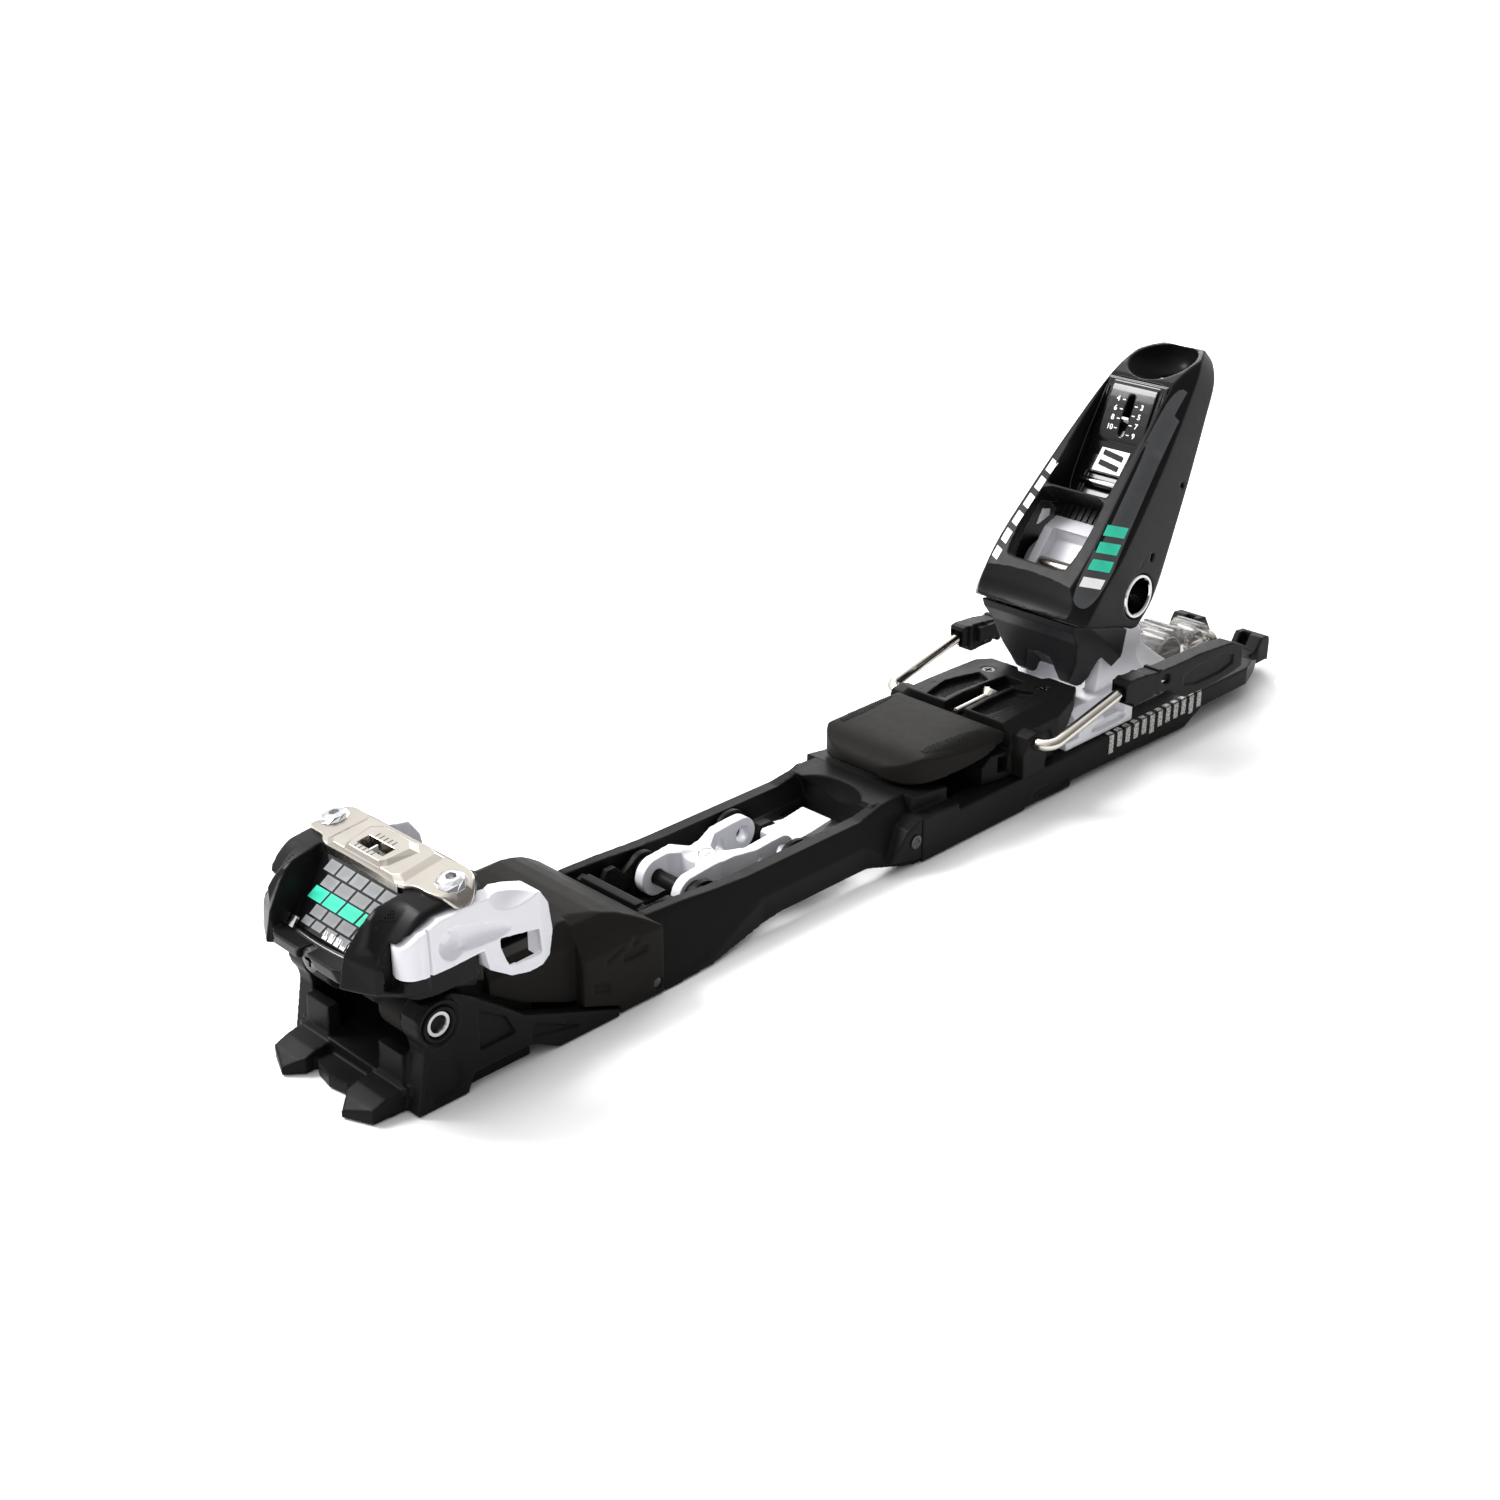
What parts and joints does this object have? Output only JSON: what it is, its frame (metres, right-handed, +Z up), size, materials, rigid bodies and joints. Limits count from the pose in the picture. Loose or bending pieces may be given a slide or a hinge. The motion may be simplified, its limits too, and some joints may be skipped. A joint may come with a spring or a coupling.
{
  "type": "touring binding",
  "caption": "Frame-type alpine touring ski binding with a pivoting boot frame, releasing toe and heel units, climbing aid and ski brake.",
  "frame": {"origin": "on the ski's surface, at the centre of the four front ski screws", "axes": "+X from the toe to the heel along the ski, +Z up from the ski, and +Y across the ski as the right-hand rule gives it"},
  "size_m": [0.53, 0.0956, 0.1643],
  "materials": {
    "black_nylon": "satin",
    "black_plate": "satin",
    "charcoal": "satin",
    "white_nylon": "satin",
    "nickel_cover": "satin",
    "steel": "satin",
    "dark_steel": "satin",
    "chrome": "polished",
    "bronze": "satin",
    "clear": "polished",
    "smoked": "polished",
    "grey_panel": "satin",
    "cup_grey": "satin",
    "scale": "matte",
    "spring_steel": "satin",
    "slide_white": "satin"
  },
  "bodies": {
    "ski_plates": {"front_slide_plate": "black_plate", "rear_plate": "black_plate", "mode_anchor": "dark_steel"},
    "slider": {"axle_block": "black_nylon", "toe_axle": "steel", "axle_bushes": "bronze", "slider_bridge": "black_nylon", "mode_pivot_pin": "steel"},
    "mode_lever": {"mode_lever": "black_nylon", "mode_crank_pin": "steel"},
    "climbing_aid": {"climbing_aid": "white_nylon"},
    "climbing_step": {"climbing_step": "white_nylon"},
    "frame": {"toe_platform": "charcoal", "centre_frame": "black_nylon", "rear_track": "black_nylon", "length_scale": "scale", "frame_screws": "dark_steel", "toe_housing": "black_nylon", "toe_cover": "nickel_cover", "toe_cover_rivets": "chrome", "toe_window": "smoked", "toe_spring": "spring_steel", "toe_spring_rod": "dark_steel", "wing_pins": "steel"},
    "toe_release_screw": {"toe_release_screw": "chrome"},
    "toe_indicator": {"toe_indicator": "white_nylon"},
    "wing_left": {"wing_left": "white_nylon"},
    "wing_right": {"wing_right": "white_nylon"},
    "sole_carrier": {"sole_plate_carrier": "black_plate"},
    "sole_glide": {"sole_glide_plate": "slide_white"},
    "sole_height_screw": {"sole_height_screw": "steel"},
    "heel_carriage": {"heel_carriage": "white_nylon", "heel_axle": "chrome", "length_screw_cover": "clear", "brake_base": "black_nylon", "brake_screws": "dark_steel", "brake_rod": "steel", "brake_spring": "spring_steel"},
    "length_screw": {"length_screw": "steel"},
    "heel_unit": {"heel_housing": "black_nylon", "heel_side_panels": "grey_panel", "heel_cup": "cup_grey", "heel_window": "smoked", "heel_spring": "spring_steel", "heel_spring_piston": "dark_steel", "heel_cross_pin": "chrome", "cam_link": "white_nylon", "cam_roller": "steel"},
    "heel_indicator": {"heel_indicator": "white_nylon"},
    "heel_release_screw": {"heel_release_screw": "steel"},
    "brake_arms": {"brake_arm_left": "steel", "brake_arm_right": "steel", "brake_tip_left": "black_nylon", "brake_tip_right": "black_nylon"},
    "brake_pedal": {"brake_pedal": "charcoal", "pedal_grips": "black_nylon"}
  },
  "joints": [
    {"name": "block_slide", "type": "slide", "parent": "ski_plates", "child": "slider", "axis": [1, 0, 0], "range_m": [0, 0.01928]},
    {"name": "mode_lever_turn", "type": "hinge", "parent": "slider", "child": "mode_lever", "pos_m": [0.06, 0, 0.017], "axis": [0, 1, 0], "range_deg": [-0.5, 80.5]},
    {"name": "climbing_aid_lift", "type": "hinge", "parent": "slider", "child": "climbing_aid", "pos_m": [0.06, 0, 0.017], "axis": [0, -1, 0], "range_deg": [0, 60]},
    {"name": "climbing_step_lift", "type": "hinge", "parent": "slider", "child": "climbing_step", "pos_m": [0.118, 0, 0.013], "axis": [0, -1, 0], "range_deg": [0, 60]},
    {"name": "frame_pivot", "type": "hinge", "parent": "slider", "child": "frame", "pos_m": [-0.073, 0, 0.0315], "axis": [0, -1, 0], "range_deg": [0, 80]},
    {"name": "toe_screw_turn", "type": "hinge", "parent": "frame", "child": "toe_release_screw", "pos_m": [-0.0956, 0, 0.0496], "axis": [-1, 0, 0], "range_deg": [-720, 720]},
    {"name": "toe_indicator_slide", "type": "slide", "parent": "frame", "child": "toe_indicator", "axis": [0, 1, 0], "range_m": [-0.004, 0.004]},
    {"name": "wing_left_open", "type": "hinge", "parent": "frame", "child": "wing_left", "pos_m": [-0.08, 0.0332, 0.06], "axis": [0, 0, 1], "range_deg": [0, 25], "stiffness_Nm_per_rad": 8, "springref_deg": -2.86},
    {"name": "wing_right_open", "type": "hinge", "parent": "frame", "child": "wing_right", "pos_m": [-0.08, -0.0332, 0.06], "axis": [0, 0, -1], "range_deg": [0, 25], "stiffness_Nm_per_rad": 8, "springref_deg": -2.86},
    {"name": "sole_height", "type": "slide", "parent": "frame", "child": "sole_carrier", "axis": [0, 0, 1], "range_m": [0, 0.003]},
    {"name": "sole_glide_slide", "type": "slide", "parent": "sole_carrier", "child": "sole_glide", "axis": [0, 1, 0], "range_m": [-0.003, 0.003]},
    {"name": "sole_screw_turn", "type": "hinge", "parent": "frame", "child": "sole_height_screw", "pos_m": [-0.034, 0, 0.033], "axis": [0, 0, 1], "range_deg": [0, 1080]},
    {"name": "heel_slide", "type": "slide", "parent": "frame", "child": "heel_carriage", "axis": [1, 0, 0], "range_m": [-0.01, 0.01]},
    {"name": "length_screw_turn", "type": "hinge", "parent": "frame", "child": "length_screw", "pos_m": [0.412, 0, 0.014], "axis": [1, 0, 0], "range_deg": [-1800, 1800]},
    {"name": "heel_release", "type": "hinge", "parent": "heel_carriage", "child": "heel_unit", "pos_m": [0.304, 0, 0.073], "axis": [0, 1, 0], "range_deg": [0, 45], "stiffness_Nm_per_rad": 3, "springref_deg": -17.19},
    {"name": "heel_indicator_slide", "type": "slide", "parent": "heel_unit", "child": "heel_indicator", "axis": [0.6428, 0, 0.766], "range_m": [-0.003, 0.003]},
    {"name": "heel_screw_turn", "type": "hinge", "parent": "heel_unit", "child": "heel_release_screw", "pos_m": [0.32744, 0, 0.11338], "axis": [0.6428, 0, 0.766], "range_deg": [-720, 720]},
    {"name": "brake_arms_turn", "type": "hinge", "parent": "heel_carriage", "child": "brake_arms", "pos_m": [0.229, 0, 0.031], "axis": [0, 1, 0], "range_deg": [0, 50]},
    {"name": "brake_pedal_turn", "type": "hinge", "parent": "heel_carriage", "child": "brake_pedal", "pos_m": [0.217, 0, 0.0344], "axis": [0, 1, 0], "range_deg": [-0.5, 25.5]}
  ],
  "couplings": [
    {"joint": "mode_lever_turn", "follows": "block_slide", "rad_per_m": 72.407},
    {"joint": "toe_indicator_slide", "follows": "toe_screw_turn", "m_per_rad": 0.00031831},
    {"joint": "sole_screw_turn", "follows": "sole_height", "rad_per_m": 6283.2},
    {"joint": "length_screw_turn", "follows": "heel_slide", "rad_per_m": 3141.6},
    {"joint": "heel_indicator_slide", "follows": "heel_screw_turn", "m_per_rad": 0.00023873},
    {"joint": "brake_pedal_turn", "follows": "brake_arms_turn", "ratio": 0.5}
  ]
}
